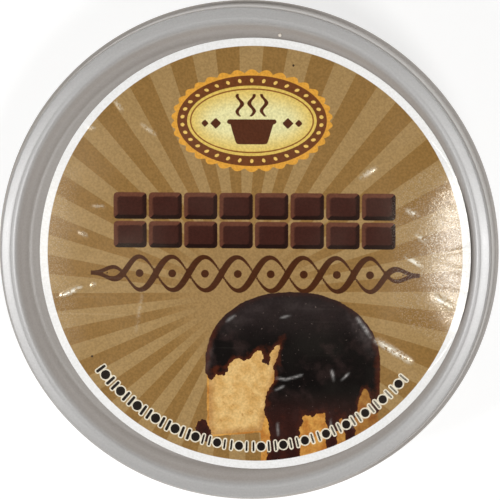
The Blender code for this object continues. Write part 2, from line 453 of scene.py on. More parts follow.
pip_outline = rounded(
    [
        (0.0, PIP_HEIGHT),
        (PIP_RADIUS, PIP_HEIGHT, PIP_ROUNDING),
        (PIP_RADIUS, -PIP_HEIGHT),
        (0.0, -PIP_HEIGHT),
    ]
)
pip_points, pip_faces = turned(pip_outline, PIP_SECTORS)
pip_points[:, 0] += PIP_AWAY * math.cos(PIP_TURN)
pip_points[:, 1] += PIP_AWAY * math.sin(PIP_TURN)
pip_points[:, 2] += np.interp(PIP_AWAY, lid_top[:, 0], lid_top[:, 1])
# The pip's one grey is painted highlight: pale for the glint on the stub.
pip_highlight_plastic = milky_plastic("pip_highlight_plastic", [(0.0, PIP_HIGHLIGHT), (LID_RADIUS, PIP_HIGHLIGHT)], 0.0)
pip = add_piece("lid_pip", pip_points, pip_faces, pip_highlight_plastic)
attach(pip, "root")

# ------------------------------------------------------------------------- the label's paper
# A round self-adhesive label of coated paper, stuck on a little off centre by machine. Its right
# edge climbs the lid's shoulder, where the paper stands off in a shallow tent and wrinkles.
# Sizes on the label are in millimetres: u runs right and v up, from the label's own centre.
LABEL_RADIUS = 51.65
LABEL_OFFSET = (2.2, -0.17)
PAPER = 0.12  # how thick it is
LAID = 0.05  # the glue under it
TENT_START = 36.5  # from the lid's axis
TENT_POWER = 2.3
TENT_LIFT = 0.8  # how far its edge stands off the shoulder
TENT_HALF_ANGLE = math.radians(34)
CELLS = 285  # to a side of the square grid that becomes the disc
COARSE = 3  # the underside's cells are this many top cells wide
CREASES = (  # from, to, half width and height
    ((-46.1, -10.2), (-41.7, -8.1), 0.45, 0.13),
    ((-38.8, -7.7), (-38.3, -7.4), 0.40, 0.10),
    ((-26.6, -9.0), (-28.3, -18.7), 0.40, 0.018),
    ((-33.2, 36.8), (-31.4, 34.4), 0.32, 0.055),
    ((-26.8, 31.2), (-23.4, 28.6), 0.32, 0.05),
    ((-39.6, 30.6), (-38.2, 30.0), 0.40, 0.06),
    ((-38.4, 11.6), (-35.8, 11.3), 0.34, 0.045),
    ((-41.8, 5.2), (-40.0, 4.3), 0.36, 0.05),
    ((29.5, -20.3), (37.6, -25.2), 0.60, 0.16),
    ((36.4, -0.1), (39.8, -2.3), 0.50, 0.14),
    ((43.2, -9.5), (47.3, -11.9), 0.80, 0.12),
    ((39.0, 5.0), (41.2, 3.6), 0.50, 0.11),
    ((36.6, 10.9), (38.6, 9.9), 0.50, 0.12),
    ((25.6, 18.6), (28.9, 21.0), 0.50, 0.06),
)
SWELL = 0.02  # half the height of the paper's slow swell
FOLDS = 10  # radial wrinkles where the paper stands off
FOLD_SEED = 11
FOLD_SECTOR = 38  # degrees that they spread over
FOLD_STARTS = (33, 43)  # from the lid's axis
FOLD_WIDTHS = (0.7, 1.9)
FOLD_HEIGHTS = (0.02, 0.09)
FOLD_SWAYS = (0.3, 1.1)
FOLD_WAVE = 0.32  # radians of their wavering to the millimetre
FOLD_END = 53  # where they are highest


def smooth(value):
    """The smooth step from 0 to 1: t squared times (3 - 2t), held outside."""
    held = np.clip(value, 0, 1)
    return held * held * (3 - 2 * held)


def from_line(u, v, start, end):
    """The distance to a straight stroke, and its nearest point's share of the way along."""
    run = np.subtract(end, start)
    share = np.clip(((u - start[0]) * run[0] + (v - start[1]) * run[1]) / (run @ run), 0, 1)
    return np.hypot(u - start[0] - share * run[0], v - start[1] - share * run[1]), share


def laid_height(u, v):
    """The paper's height over the panel: that of the lid's own outline up the shoulder, or of the
    tent, a power of the radius that fades out round the lid, whichever is higher."""
    x, y = u + LABEL_OFFSET[0], v + LABEL_OFFSET[1]
    radius, angle = np.hypot(x, y), np.arctan2(y, x)
    rest = np.interp(radius * MM, lid_top[:, 0], lid_top[:, 1] - lid_top[0, 1]) / MM
    edge = LABEL_RADIUS + math.hypot(*LABEL_OFFSET)
    climb = SHOULDER_SLOPE * (edge - PANEL_RADIUS / MM) + TENT_LIFT
    side = np.cos(np.clip(angle / TENT_HALF_ANGLE, -1, 1) * math.pi / 2)
    share = np.clip(radius - TENT_START, 0, None) / (edge - TENT_START)
    tent = climb * side * share**TENT_POWER
    return LAID + np.maximum(rest, tent)


def wrinkle_height(u, v):
    """Relief of the paper alone: ridges of bell section along the creases, a slow swell, and
    wavering radial folds that grow from nothing inside to their full height at the edge."""
    relief = SWELL + SWELL * np.sin(u * 0.21 + 1.3 * np.sin(v * 0.13)) * np.sin(v * 0.17 + 0.8)
    for start, end, width, height in CREASES:
        away, share = from_line(u, v, start, end)
        relief += height * np.exp(-((away / width) ** 2)) * (0.6 + 0.4 * np.sin(math.pi * share))
    x, y = u + LABEL_OFFSET[0], v + LABEL_OFFSET[1]
    radius, angle = np.hypot(x, y), np.arctan2(y, x)
    draw = np.random.default_rng(FOLD_SEED)
    for number in range(FOLDS):
        turn = FOLD_SECTOR * (number + draw.uniform(0.1, 0.9)) / FOLDS - FOLD_SECTOR / 2
        start = draw.uniform(*FOLD_STARTS)
        width = draw.uniform(*FOLD_WIDTHS)
        height = draw.uniform(*FOLD_HEIGHTS)
        sway = draw.uniform(*FOLD_SWAYS)
        phase = draw.uniform(0, math.tau)
        away = radius * (angle - math.radians(turn))
        away -= sway * np.sin((radius - start) * FOLD_WAVE + phase)
        grown = smooth((radius - start) / (FOLD_END - start))
        relief += height * np.exp(-((away / width) ** 2)) * grown
    return relief


# The square grid is pulled into a disc: each coordinate times the root of 1 less half the
# square of the other.
steps = np.linspace(-1, 1, CELLS + 1)
across, upward = np.meshgrid(steps, steps)
top_u = LABEL_RADIUS * across * np.sqrt(1 - upward**2 / 2)
top_v = LABEL_RADIUS * upward * np.sqrt(1 - across**2 / 2)
under_u, under_v = top_u[::COARSE, ::COARSE], top_v[::COARSE, ::COARSE]
top_height = laid_height(top_u, top_v) + wrinkle_height(top_u, top_v) + PAPER
u = np.concatenate([top_u.ravel(), under_u.ravel()])
v = np.concatenate([top_v.ravel(), under_v.ravel()])
height = np.concatenate([top_height.ravel(), laid_height(under_u, under_v).ravel()])
printed = np.arange(len(u)) < top_u.size
label_points = np.column_stack([u + LABEL_OFFSET[0], v + LABEL_OFFSET[1], height]) * MM
label_points[:, 2] += lid_top[0, 1]


def grid_quads(side, first):
    """The cells of a square grid with this many points to a side, numbered from first."""
    corner = first + np.arange(side - 1)[:, None] * side + np.arange(side - 1)
    return np.stack([corner, corner + 1, corner + side + 1, corner + side], axis=-1).reshape(-1, 4)


def grid_rim(side, first):
    """The numbers of the points round that grid, anticlockwise and closed."""
    number = first + np.arange(side * side).reshape(side, side)
    runs = [number[0], number[1:, -1], number[-1, -2::-1], number[-2::-1, 0]]
    return np.concatenate(runs)


under_side = CELLS // COARSE + 1
top_rim, under_rim = grid_rim(CELLS + 1, 0), grid_rim(under_side, top_u.size)
edge_start = np.arange(len(under_rim) - 1)
edge_sides = [under_rim[edge_start], under_rim[edge_start + 1]]
edge_sides += [top_rim[edge_start * COARSE + step] for step in range(COARSE, -1, -1)]
label_faces = [
    *grid_quads(CELLS + 1, 0).tolist(),
    *grid_quads(under_side, top_u.size)[:, ::-1].tolist(),
    *np.stack(edge_sides, axis=-1).tolist(),
]

# ------------------------------------------------------------------------- the label's print
# Offset print in browns, golds and black on the white paper: a sunburst, an oval seal, a bar of
# chocolate, two twined lines, a row of beads and a sauced pudding. Each is held as an attribute:
# how far inside its edge a point of the paper lies, in millimetres.
PRINT_RADIUS = 49.75
SUN_CENTRE = (-2.5, -9.0)
SUN_RAYS = 32
SUN_TURN = math.radians(88)
SEAL_CENTRE = (-0.4, 32.0)
SEAL_HALF = (18.4, 11.3)
SEAL_LOBES = 34
LOBE_DEPTH = 0.9
SEAL_BEAD = 0.5  # the radius of the beads in its band
SEAL_BAND = 1.75  # how far inside the oval their middles lie
BASIN_FOOT = -5.6  # heights in the seal count from its middle
BASIN_HEIGHT = 5.0
BASIN_HALF = 3.7
BASIN_FLARE = 0.3
BASIN_RIM = (5.9, 0.55, 0.5)  # half length, half height and corner
BASIN_RIM_LEVEL = -0.2
WISPS = (-2.9, 0.0, 2.9)  # where the steam rises
WISP_FOOT = 1.3
WISP_MIDDLE = 2.4  # above the foot
WISP_HALF = 2.7
GEMS = ((8.6, 1.35), (11.2, 0.95))  # how far to either side, and half width
GEM_LEVEL = -0.6
BAR_CENTRE = (0.1, 8.2)
BAR_PITCH = (8.5, 6.9)
BAR_COUNT = (8, 2)
BAR_GAP = 0.25  # half the gap between squares
BEVEL = 1.15
TWINE_CENTRE = (0.2, -4.6)
TWINE_HALF = 39.5
TWINE_WAVE = 15.8
TWINE_SWING = 4.0
TWINE_TAPER = 12  # over which the swing dies away at either end
TWINE_BREADTH = (0.52, 0.30)  # half of a strand's, and what it gains or loses as it climbs
EYE_SHARE = 0.24  # a dot's radius over the swing
BEADS_RADIUS = 46.3
BEADS_START = math.radians(216)
BEADS_SWEEP = math.radians(106)
BEADS_PITCH = BEADS_SWEEP * BEADS_RADIUS / 16
BEADS_HEAVY = 0.12  # how much bolder the first of them are,
BEADS_HEAVY_END = 28  # this far along
BEAD_RADIUS = 1.0
BEAD_BAR = (0.24, 1.25)  # half width and half height
BEAD_BAR_PLACE = 1.85  # on either side of the bead
BEAD_BORDER = 0.27  # the cream edge round the black
EDGE_BLUR = 0.08  # half the width over which an ink ends
FAR_OUTSIDE = -9.0  # what a field of several shapes starts from


def block(x, y, half_x, half_y, corner):
    """How far inside a rectangle with rounded corners a point lies: the corner's radius less the
    distance outside the rectangle that is smaller by it all round, or plus the depth inside."""
    beyond_x, beyond_y = np.abs(x) - half_x + corner, np.abs(y) - half_y + corner
    outside = np.hypot(np.maximum(beyond_x, 0), np.maximum(beyond_y, 0))
    return corner - outside - np.minimum(np.maximum(beyond_x, beyond_y), 0)


def joined(shapes, softness):
    """The union of shapes with filleted corners: softness times the log of the sum of exps."""
    total = shapes[0]
    for shape in shapes[1:]:
        total = np.logaddexp(total / softness, shape / softness) * softness
    return total


fields = {"print_edge": PRINT_RADIUS - np.hypot(u, v)}

# Rays: the sine of the angle to the ray's side, times the distance from the sun.
sun_u, sun_v = u - SUN_CENTRE[0], v - SUN_CENTRE[1]
ray_pitch = math.tau / SUN_RAYS
off_ray = (np.arctan2(sun_v, sun_u) - SUN_TURN + ray_pitch / 2) % ray_pitch - ray_pitch / 2
fields["sun_distance"] = np.hypot(sun_u, sun_v)
fields["ray"] = fields["sun_distance"] * np.sin(ray_pitch / 4 - np.abs(off_ray))

# Seal: an oval with lobes along its edge, beads in its band, and a steaming basin within.
seal_u, seal_v = u - SEAL_CENTRE[0], v - SEAL_CENTRE[1]
oval_u, oval_v = seal_u / SEAL_HALF[0], seal_v / SEAL_HALF[1]
oval = np.maximum(np.hypot(oval_u, oval_v), 0.01)
oval_grade = np.hypot(oval_u / SEAL_HALF[0], oval_v / SEAL_HALF[1]) / oval
oval_angle = np.arctan2(oval_v, oval_u)
fields["seal_ring"] = (1 - oval) / oval_grade
fields["seal"] = fields["seal_ring"] + LOBE_DEPTH * np.abs(np.sin(oval_angle * SEAL_LOBES / 2))
bead_turn = (oval_angle * SEAL_LOBES / math.tau) % 1 - 0.5
bead_step = math.tau / SEAL_LOBES * np.hypot(
    SEAL_HALF[0] * np.sin(oval_angle), SEAL_HALF[1] * np.cos(oval_angle)
)
band_depth = fields["seal_ring"] - SEAL_BAND
fields["seal_beads"] = SEAL_BEAD - np.hypot(bead_turn * bead_step, band_depth)
basin_level = seal_v - BASIN_FOOT
basin_wall = BASIN_HALF + BASIN_FLARE * basin_level - np.abs(seal_u)
basin_body = -joined([-basin_wall, -basin_level, basin_level - BASIN_HEIGHT], 0.25)
basin_rim = block(seal_u, seal_v - BASIN_RIM_LEVEL, *BASIN_RIM)
steam = np.full_like(u, FAR_OUTSIDE)
rise = seal_v - WISP_FOOT
off_middle = np.abs(rise - WISP_MIDDLE)
for wisp in WISPS:
    off_wave = seal_u - wisp - 0.6 * np.sin(rise * 1.65 + wisp)
    stroke = 0.42 - 0.05 * off_middle - np.abs(off_wave) * 0.8
    steam = np.maximum(steam, np.minimum(stroke, WISP_HALF - off_middle))
gems = np.full_like(u, FAR_OUTSIDE)
for gem, size in GEMS:
    off_gem = np.abs(np.abs(seal_u) - gem)
    gems = np.maximum(gems, (size - off_gem - np.abs(seal_v - GEM_LEVEL)) * 0.7)
fields["seal_mark"] = np.maximum.reduce([joined([basin_body, basin_rim], 0.15), steam, gems])

# Bar: squares with a bevel that is light above and on the left, dark below and on the right.
bar_u, bar_v = u - BAR_CENTRE[0], v - BAR_CENTRE[1]
square_u = (bar_u + BAR_PITCH[0] * BAR_COUNT[0] / 2) % BAR_PITCH[0] - BAR_PITCH[0] / 2
square_v = (bar_v + BAR_PITCH[1] * BAR_COUNT[1] / 2) % BAR_PITCH[1] - BAR_PITCH[1] / 2
bar_half = [pitch * count / 2 for pitch, count in zip(BAR_PITCH, BAR_COUNT)]
square_half = [pitch / 2 - BAR_GAP for pitch in BAR_PITCH]
bar_outline = block(bar_u, bar_v, *bar_half, 0.6)
square = block(square_u, square_v, *square_half, 0.9)
fields["bar"] = np.minimum(square, bar_outline)
table = block(square_u, square_v, square_half[0] - BEVEL, square_half[1] - BEVEL, 0.5)
sideways = (np.abs(square_u) - square_half[0]) > (np.abs(square_v) - square_half[1])
slant = np.where(sideways, -0.7 * np.sign(square_u), np.sign(square_v))
fields["bar_bevel"] = slant * np.clip(-table / 0.3, 0, 1)

# Twine: two sine strands of opposite swing that thicken as they climb, with dots in the eyes.
twine_u, twine_v = u - TWINE_CENTRE[0], v - TWINE_CENTRE[1]
swing = TWINE_SWING * smooth((TWINE_HALF - np.abs(twine_u)) / TWINE_TAPER)
phase = math.tau * twine_u / TWINE_WAVE
twine = np.full_like(u, FAR_OUTSIDE)
for sign in (1, -1):
    off_strand = twine_v - sign * swing * np.sin(phase)
    grade = sign * swing * np.cos(phase) * math.tau / TWINE_WAVE
    half_strand = TWINE_BREADTH[0] + TWINE_BREADTH[1] * np.clip(grade / 1.6, -1, 1)
    twine = np.maximum(twine, half_strand - np.abs(off_strand) / np.sqrt(1 + grade**2))
eye_u = (twine_u + TWINE_WAVE / 2) % (TWINE_WAVE / 2) - TWINE_WAVE / 4
eyes = EYE_SHARE * swing - np.hypot(eye_u, twine_v)
fields["twine"] = np.minimum(np.maximum(twine, eyes), TWINE_HALF - np.abs(twine_u))

# Beads: an ellipse and two bars to each pitch, along an arc.
bead_angle = (np.arctan2(v, u) - BEADS_START) % math.tau
along = np.where(bead_angle > BEADS_SWEEP + 1, -1.0, bead_angle * BEADS_RADIUS)
off_row = np.hypot(u, v) - BEADS_RADIUS
bead_u = along % BEADS_PITCH - BEADS_PITCH / 2
heavy = BEADS_HEAVY * (1 - smooth((along - BEADS_HEAVY_END) / 3))
bar_half_u, bar_half_v = BEAD_BAR[0] + heavy, BEAD_BAR[1] + heavy
beads = np.maximum(
    BEAD_RADIUS + heavy - np.hypot(bead_u, off_row * 0.95),
    block(np.abs(bead_u) - BEAD_BAR_PLACE, off_row, bar_half_u, bar_half_v, 0.22),
)
row_end = BEADS_SWEEP * BEADS_RADIUS
fields["beads"] = np.minimum(beads, np.minimum(along, row_end - along))

# Pudding: a domed body with a slice taken out on the left, under a sauce that runs down it.
PUDDING_CENTRE = 9.4
PUDDING_TOP = -9.1
PUDDING_HALF = 20.6
PUDDING_SHOULDER = 17.0  # from its top down to where its sides stand upright
DOME_POWER = 2.15  # 2 would make its outline an ellipse
BASE_LEVEL = -44.0  # where the cut face stands, at u = -10
BASE_RISE = 0.1
BASE_END = 1.8  # from here to the right the pudding runs on, out of the print
CUT_EDGE = 4.8  # where the cut ends on the right, at v = -30
CUT_LEAN = 0.218
POOL = ((-12.4, -41.5), (-11.4, -43.8))  # of sauce, beside the foot: from and to
POOL_RADIUS = 1.5
LEFT_LEVEL = -28.3  # the sauce's lower edge over the cut face, at u = -10.3
LEFT_RISE = 0.41
RIGHT_LEVEL = -38.0  # and on the right of it, up to u = 22.5,
RIGHT_STEP = 6.0  # where it steps up by this
DRIP_RUN = 17.0  # how far above its end a drip begins
LONG_DRIP = -35  # drips that end below this have a wider root
ROOT_BREADTH = 0.9
DRIPS = (  # where, half width and how low
    (-10.2, 0.9, -30.2),
    (-7.4, 1.1, -29.0),
    (3.1, 0.8, -26.3),
    (9.8, 3.2, -31.0),
    (5.6, 2.0, -51.0),
    (9.1, 2.7, -54.0),
    (18.9, 1.3, -47.6),
    (23.7, 1.1, -45.2),
    (29.6, 0.8, -38.0),
)
SHEEN = (  # broad soft light on the sauce: from, to, half width and strength
    ((-7.0, -17.5), (4.0, -11.6), 1.7, 0.14),
    ((4.0, -11.6), (17.0, -12.6), 1.3, 0.14),
    ((23.5, -14.5), (28.6, -22.5), 1.5, 0.28),
    ((-10.2, -20.5), (-11.2, -28.0), 0.8, 0.32),
)
GLINTS = (  # small and bright: from, to, half width and strength
    ((-6.4, -16.0), (-4.6, -14.6), 0.30, 0.35),
    ((6.6, -15.0), (8.8, -14.5), 0.22, 0.35),
    ((24.8, -14.9), (28.2, -19.4), 0.34, 0.65),
    ((5.6, -29.6), (7.8, -29.9), 0.24, 0.50),
    ((7.8, -29.9), (11.6, -28.8), 0.24, 0.60),
    ((5.4, -32.4), (7.2, -31.6), 0.24, 0.45),
    ((18.8, -27.6), (19.3, -30.0), 0.26, 0.55),
    ((21.2, -29.8), (22.9, -28.2), 0.24, 0.50),
    ((5.8, -40.6), (6.0, -43.4), 0.26, 0.35),
    ((18.6, -39.4), (18.7, -42.6), 0.22, 0.32),
    ((23.8, -38.4), (23.9, -41.4), 0.20, 0.35),
)
dome_side = (u - PUDDING_CENTRE) / PUDDING_HALF
dome_high = np.clip((v - PUDDING_TOP) / PUDDING_SHOULDER + 1, 0, None)
dome = (np.abs(dome_side) ** DOME_POWER + dome_high**DOME_POWER) ** (1 / DOME_POWER)
standing = np.maximum(v - BASE_LEVEL - BASE_RISE * (u + 10), u - BASE_END)
pool = POOL_RADIUS - from_line(u, v, *POOL)[0]
fields["pudding"] = np.maximum(np.minimum((1 - dome) * PUDDING_SHOULDER, standing), pool)
fields["dome_side"] = dome_side
# The cut's edge and the sauce's lower edges are straight lines that wander by a small sine.
slice_side = CUT_EDGE + CUT_LEAN * (v + 30) + 0.12 * np.sin(v * 0.8) - u
fields["cut_face"] = np.minimum(slice_side, fields["pudding"] - 0.4)
left_level = LEFT_LEVEL + LEFT_RISE * np.clip(u + 10.3, 0, 20) + 0.5 * np.sin(u * 1.1)
right_level = RIGHT_LEVEL + RIGHT_STEP * smooth((u - 22.5) / 5) + 0.7 * np.sin(u * 0.8)
runs = [(v - left_level) * 0.9, np.minimum(0.2 - slice_side, (v - right_level) * 0.9), pool]
for where, breadth, low in DRIPS:
    drip_end = (where + 0.3 * math.sin(where), low + breadth)
    off_drip, drip_share = from_line(u, v, (where, low + DRIP_RUN), drip_end)
    root = ROOT_BREADTH * smooth((v - right_level) / 5 + 1) if low < LONG_DRIP else 0.0
    runs.append(breadth * (0.78 + 0.22 * smooth(drip_share * 3 - 2)) + root - off_drip)
fields["sauce"] = joined(runs, 0.5)


def highlight(strokes):
    """The strongest of soft strokes of bell section that fade towards their ends."""
    shine = np.zeros_like(u)
    for start, end, breadth, strength in strokes:
        away, share = from_line(u, v, start, end)
        fade = strength * np.sin(math.pi * (0.15 + 0.7 * share))
        shine = np.maximum(shine, fade * np.exp(-((away / breadth) ** 2)))
    return shine


fields["sheen"], fields["glint"] = highlight(SHEEN), highlight(GLINTS)

# Spots: two dots of stray ink.
SPOTS = ((-39.1, -24.9), (9.5, 45.1))
SPOT_RADIUS = 0.30
off_spot = np.minimum.reduce([np.hypot(u - spot[0], v - spot[1]) for spot in SPOTS])
fields["spots"] = SPOT_RADIUS - off_spot

# Creases: a hatched white painted highlight along them, for the glints that they catch, most on
# the high ones and at the middle of each.
CREASE_HIGHLIGHT_GAIN = 7  # how white it is for each millimetre of height
crease = np.zeros_like(u)
for start, end, half_crease, crease_height in CREASES:
    off_crease, crease_share = from_line(u, v, start, end)
    mark = min(1.0, CREASE_HIGHLIGHT_GAIN * crease_height) * np.exp(-((off_crease / half_crease) ** 2))
    crease = np.maximum(crease, mark * np.sin(math.pi * (0.12 + 0.76 * crease_share)))
fields["crease"] = crease

# Strain: where the paper stands off on the right, and a little on the left and along creases, its
# varnish is rippled, and white flecks of painted highlight stand in for its glitter. Each side is
# a smooth step outwards times one round the lid.
RIGHT_STRAIN = (33, 17, 1.2, 0.42)  # start and width from the lid's axis, level and half turn
LEFT_STRAIN = (37, 10, 1.3, 0.6)
LEFT_STRENGTH = 0.12
CREASE_STRENGTH = 0.8


def strained(from_axis, turn, start, width, level, half_turn):
    """The smooth step from start over width, times the smooth step of the level less the turn
    over the half turn."""
    return smooth((from_axis - start) / width) * smooth(level - turn / half_turn)


lid_u, lid_v = u + LABEL_OFFSET[0], v + LABEL_OFFSET[1]
away_from_axis, turn_from_right = np.hypot(lid_u, lid_v), np.arctan2(lid_v, lid_u)
turn_from_left = math.pi - np.abs(turn_from_right)
right_strain = strained(away_from_axis, np.abs(turn_from_right - 0.01), *RIGHT_STRAIN)
left_strain = LEFT_STRENGTH * strained(away_from_axis, turn_from_left, *LEFT_STRAIN)
fields["strain"] = np.maximum.reduce([right_strain, left_strain, CREASE_STRENGTH * crease])

# These fields aren't depths inside an edge, and are nought on the label's underside.
SHADED = ("strain", "sun_distance", "bar_bevel", "dome_side", "sheen", "glint", "crease")
UNPRINTED = -10.0  # what the others are there

# The inks, from the paper up, and then the white painted highlights and what light does to them.
PAPER_DIM = ink(238, 237, 234)
PAPER_BRIGHT = ink(248, 247, 246)
CREAM = ink(238, 228, 205)
RAY_BROWN = ink(144, 109, 60)
RAY_TAN = ink(164, 133, 86)
SUN_TAN = ink(158, 126, 80)
DEEP_GOLD = ink(224, 190, 92)
PALE_GOLD = ink(233, 225, 166)
LOBE_AMBER = ink(224, 160, 62)
BAND_BROWN = ink(112, 64, 34)
BAND_GOLD = ink(236, 196, 104)
RING_BROWN = ink(140, 88, 40)
MARK_BROWN = ink(84, 44, 26)
CHOCOLATE = ink(62, 31, 25)
CHOCOLATE_LIT = ink(104, 62, 46)
CHOCOLATE_SHADED = ink(32, 14, 11)
TWINE_BROWN = ink(72, 37, 17)
SPONGE_DARK = ink(178, 112, 46)
SPONGE_LIGHT = ink(214, 158, 78)
SPONGE_SHADED = ink(96, 52, 22)
FACE_DARK = ink(206, 160, 92)
FACE_LIGHT = ink(226, 187, 122)
FACE_HOLE = ink(168, 116, 60)
FACE_SHADED = ink(160, 104, 52)
SAUCE_THIN = ink(72, 30, 16)
SAUCE_THICK = ink(11, 7, 8)
SAUCE_PATCH = ink(48, 34, 33)
SAUCE_TOP = ink(42, 33, 33)
SAUCE_FOOT = ink(54, 21, 17)
SPARK_GREY = ink(150, 130, 122)
SHEEN_GREY = ink(110, 98, 96)
GLINT_WHITE = ink(222, 218, 214)
BEAD_BLACK = ink(28, 22, 20)
SPOT_BROWN = ink(64, 48, 36)
# The two whites below are painted highlight: along the creases, and in flecks where the paper is
# strained.
CREASE_HIGHLIGHT_WHITE = ink(246, 240, 222)
GLITTER_WHITE = ink(246, 240, 226)
GRAIN_DARK = (0.86, 0.86, 0.85, 1.0)  # the paper's grain, by which the inks are multiplied
GRAIN_LIGHT = (1.10, 1.10, 1.11, 1.0)
VARNISH_TINT = (1.0, 0.9, 0.72, 1.0)
FLAT_RIPPLE = 0.000003  # the varnish's ripple in metres where the paper lies flat
STRAINED_RIPPLE = 0.000058


def field(tree, name):
    """The label's attribute of this name."""
    return node(tree, "ShaderNodeAttribute", attribute_name=name).outputs["Fac"]


def over(tree, below, shape, colour, edge=0.0):
    """The colour laid over the one below, wherever the shape, a value or a field's name, is more
    than the edge."""
    inside = field(tree, shape) if isinstance(shape, str) else shape
    return blend(tree, ramp(tree, inside, edge - EDGE_BLUR, edge + EDGE_BLUR), below, colour)


def sunburst_ink(tree):
    """Two tans in turn round the rays, which fade into one even tan near the sun."""
    rays = blend(tree, ramp(tree, field(tree, "ray"), -0.12, 0.12), RAY_BROWN, RAY_TAN)
    return blend(tree, ramp(tree, field(tree, "sun_distance"), 9.0, 24.0), SUN_TAN, rays)


def seal_over(tree, colour):
    """The seal over a colour. Its numbers are how far inside the oval each ring begins."""
    gold = blend(tree, ramp(tree, field(tree, "seal_ring"), 2.5, 10.0), DEEP_GOLD, PALE_GOLD)
    colour = over(tree, colour, "seal", LOBE_AMBER)
    colour = over(tree, colour, "seal_ring", BAND_BROWN, 0.55)
    colour = over(tree, colour, "seal_beads", BAND_GOLD)
    colour = over(tree, colour, "seal_ring", gold, 2.95)
    colour = over(tree, colour, "seal_ring", RING_BROWN, 3.6)
    colour = over(tree, colour, "seal_ring", gold, 3.95)
    return over(tree, colour, "seal_mark", MARK_BROWN)


def bar_over(tree, colour):
    """The chocolate squares over a colour, lit and shaded along their bevels."""
    bevel = field(tree, "bar_bevel")
    chocolate = blend(tree, ramp(tree, bevel, 0.0, 1.0), CHOCOLATE, CHOCOLATE_LIT)
    chocolate = blend(tree, ramp(tree, bevel, 0.0, -1.0), chocolate, CHOCOLATE_SHADED)
    return over(tree, colour, "bar", chocolate)


def sponge_ink(tree, place):
    """Crumbly sponge that darkens to the right, and its paler cut face with small holes and a
    shadow along its edges."""
    crumb = ramp(tree, noise(tree, place, 420.0, 4.0), 0.3, 0.7)
    sponge = blend(tree, crumb, SPONGE_DARK, SPONGE_LIGHT)
    dim = ramp(tree, field(tree, "dome_side"), 0.25, 1.0, 0.0, 0.6)
    sponge = blend(tree, dim, sponge, SPONGE_SHADED)
    face = blend(tree, crumb, FACE_DARK, FACE_LIGHT)
    holes = ramp(tree, noise(tree, place, 900.0, 2.0), 0.64, 0.74, 0.0, 0.5)
    face = blend(tree, holes, face, FACE_HOLE)
    shadow = ramp(tree, field(tree, "cut_face"), 1.8, 0.0, 0.0, 0.55)
    face = blend(tree, shadow, face, FACE_SHADED)
    return over(tree, sponge, "cut_face", face)


def sauce_ink(tree, place, thickness):
    """Sauce that is brown where it is thin, with soft patches, greyer at the top and redder at
    the foot."""
    sauce = blend(tree, ramp(tree, thickness, 0.0, 1.5), SAUCE_THIN, SAUCE_THICK)
    patches = ramp(tree, noise(tree, place, 260.0, 5.0), 0.48, 0.72, 0.0, 0.6)
    sauce = blend(tree, patches, sauce, SAUCE_PATCH)
    upwards = node(tree, "ShaderNodeSeparateXYZ", {0: place}).outputs["Y"]
    near_top = ramp(tree, upwards, -22.0 * MM, -14.0 * MM, 0.0, 0.7)
    sauce = blend(tree, near_top, sauce, SAUCE_TOP)
    near_foot = ramp(tree, upwards, -32.0 * MM, -41.0 * MM, 0.0, 0.7)
    return blend(tree, near_foot, sauce, SAUCE_FOOT)


def pudding_over(tree, place, colour):
    """The pudding over a colour. Its own edge and the sauce's are made ragged by noise, and the
    sauce stops at the pudding's edge. On the sauce lie tiny sparks, sheen and glints."""
    ragged = ramp(tree, noise(tree, place, 650.0, 4.0), 0.25, 0.75, -0.38, 0.38)
    pudding = maths(tree, "ADD", field(tree, "pudding"), maths(tree, "MULTIPLY", ragged, 0.25))
    sauce = maths(tree, "ADD", field(tree, "sauce"), ragged)
    sauce = maths(tree, "MINIMUM", sauce, maths(tree, "ADD", pudding, 0.3))
    thickness = maths(tree, "ADD", sauce, maths(tree, "MULTIPLY", ragged, 0.6))
    colour = over(tree, colour, pudding, sponge_ink(tree, place))
    colour = over(tree, colour, sauce, sauce_ink(tree, place, thickness))
    sparks = ramp(tree, noise(tree, place, 1250.0, 3.0), 0.66, 0.78, 0.0, 0.4)
    sparks = maths(tree, "MULTIPLY", sparks, ramp(tree, sauce, 0.5, 1.5))
    colour = blend(tree, sparks, colour, SPARK_GREY)
    streaks = ramp(tree, noise(tree, place, 600.0, 4.0), 0.35, 0.65, 0.35, 1.0)
    for name, shine in (("sheen", SHEEN_GREY), ("glint", GLINT_WHITE)):
        strength = maths(tree, "MULTIPLY", field(tree, name), streaks)
        colour = blend(tree, strength, colour, shine)
    return colour


def painted_glints(tree, place, colour):
    """A colour with painted highlights: hatched white along the creases, and white flecks where
    the paper is strained, for the glints and glitter that these catch."""
    hatch = ramp(tree, noise(tree, place, 1300.0, 2.0), 0.36, 0.56)
    # Hatched white painted highlight along the creases.
    crease_glint = maths(tree, "MULTIPLY", field(tree, "crease"), hatch)
    colour = blend(tree, crease_glint, colour, CREASE_HIGHLIGHT_WHITE)
    # White flecks of painted highlight, where the strained varnish glitters.
    flecks = ramp(tree, noise(tree, place, 2900.0, 2.0), 0.48, 0.66, 0.0, 0.42)
    faint = ramp(tree, field(tree, "strain"), 0.03, 0.12, 0.0, 0.3)
    glitter_mask = maths(tree, "MAXIMUM", ramp(tree, field(tree, "strain"), 0.2, 1.0), faint)
    return blend(tree, maths(tree, "MULTIPLY", glitter_mask, flecks), colour, GLITTER_WHITE)


